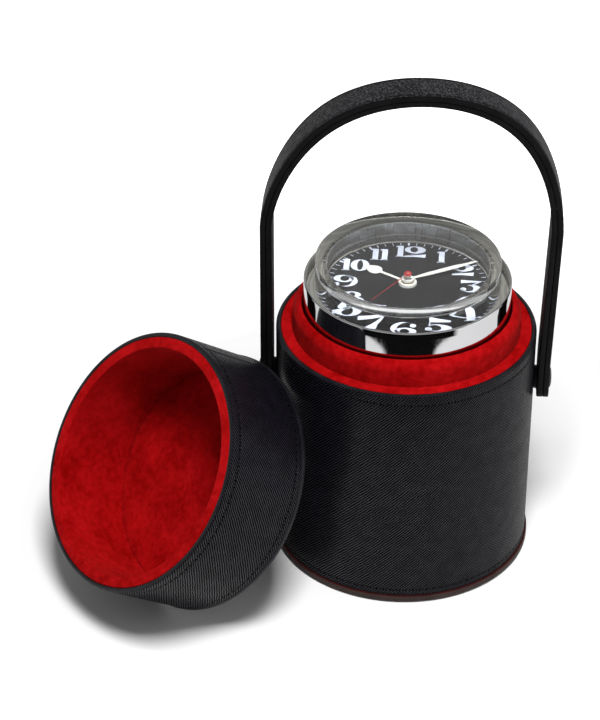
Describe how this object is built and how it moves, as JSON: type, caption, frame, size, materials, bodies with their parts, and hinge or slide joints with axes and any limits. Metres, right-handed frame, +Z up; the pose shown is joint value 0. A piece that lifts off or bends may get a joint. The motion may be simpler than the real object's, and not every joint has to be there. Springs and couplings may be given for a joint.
{
  "type": "table clock",
  "caption": "Round table clock with a tall clear crystal set in a steel can, standing in a lined leather travel case with a strap handle and lift-off lid.",
  "frame": {"origin": "centre of the underside of the case, on the surface it stands on", "axes": "+Z up along the case and the clock; -Y towards the side of the dial that carries the 6; +X to the right when the 6 is nearest; the strap's rivets lie along X"},
  "size_m": [0.2035, 0.1516, 0.208],
  "materials": {
    "black_leather": "cross-hatched calf, semi-gloss",
    "strap_leather": "pebbled, semi-matt with painted edges",
    "red_suede": "short nap",
    "base_board": "bonded leather board, cut edge",
    "base_felt": "pressed felt",
    "box_board": "grey board",
    "polished_steel": "mirror polish",
    "plain_steel": "as rolled",
    "cast_weight": "as cast",
    "acrylic": "clear, polished",
    "dial_black": "matt charcoal",
    "hand_white": "satin white",
    "hand_red": "satin red",
    "seal_black": "matt",
    "movement_plastic": "moulded",
    "rivet_black": "satin black lacquer",
    "brass": "turned",
    "copper_wire": "enamelled winding",
    "circuit_green": "solder mask",
    "cell_wrap": "plain wrap"
  },
  "bodies": {
    "case": {"base_pad": "base_felt", "base_plate": "base_board", "bottom_board": "box_board", "case_wall": "box_board", "case_leather": "black_leather", "rim_ring": "red_suede", "neck_board": "box_board", "neck_lining": "red_suede", "seat_tube": "box_board", "floor_board": "box_board", "floor_lining": "red_suede", "handle_rivets": "rivet_black", "rivet_washers": "brass", "strap_spacers": "strap_leather"},
    "handle": {"strap_outer": "strap_leather", "strap_inner": "strap_leather"},
    "lid": {"lid_wall": "box_board", "lid_leather": "black_leather", "lid_board": "box_board", "lid_top": "black_leather", "lid_lining": "red_suede", "lid_floor": "red_suede", "lid_ring": "red_suede"},
    "clock": {"can": "polished_steel", "ballast": "cast_weight", "seat_ring": "plain_steel", "dial_plate": "plain_steel", "dial": "dial_black", "dial_gasket": "seal_black", "crystal": "acrylic", "movement_case": "movement_plastic", "movement_cover": "movement_plastic", "plate_screws": "brass", "cover_screws": "brass", "drive_module": "movement_plastic", "stator": "plain_steel", "coil": "copper_wire", "circuit_board": "circuit_green", "quartz_can": "plain_steel", "battery": "cell_wrap", "battery_contacts": "plain_steel"},
    "minute": {"cannon_pinion": "brass", "minute_hand": "hand_white"},
    "hour": {"hour_wheel": "brass", "hour_hand": "hand_white"},
    "setting": {"motion_wheel": "brass", "setting_knob": "movement_plastic"},
    "seconds": {"seconds_arbor": "plain_steel", "seconds_hand": "hand_red"}
  },
  "joints": [
    {"name": "handle_swing", "type": "hinge", "parent": "case", "child": "handle", "pos_m": [0, 0, 0.0774], "axis": [1, 0, 0], "range_deg": [-120, 3]},
    {"name": "lid_lift", "type": "slide", "parent": "case", "child": "lid", "axis": [-0.6551, -0.4918, 0.5736], "range_m": [0, 0.12]},
    {"name": "clock_lift", "type": "slide", "parent": "case", "child": "clock", "axis": [0, 0, 1], "range_m": [0, 0.05]},
    {"name": "minute_turn", "type": "hinge", "parent": "clock", "child": "minute", "pos_m": [0, 0, 0.1187], "axis": [0, 0, -1], "continuous": true},
    {"name": "hour_turn", "type": "hinge", "parent": "clock", "child": "hour", "pos_m": [0, 0, 0.1175], "axis": [0, 0, -1], "continuous": true},
    {"name": "setting_turn", "type": "hinge", "parent": "clock", "child": "setting", "pos_m": [0, 0.008, 0.1], "axis": [0, 0, -1], "continuous": true},
    {"name": "seconds_turn", "type": "hinge", "parent": "clock", "child": "seconds", "pos_m": [0, 0, 0.121], "axis": [0, 0, -1], "continuous": true}
  ],
  "couplings": [
    {"joint": "hour_turn", "follows": "minute_turn", "ratio": 0.083333},
    {"joint": "setting_turn", "follows": "minute_turn", "ratio": -0.33333},
    {"joint": "seconds_turn", "follows": "minute_turn", "ratio": 60}
  ]
}
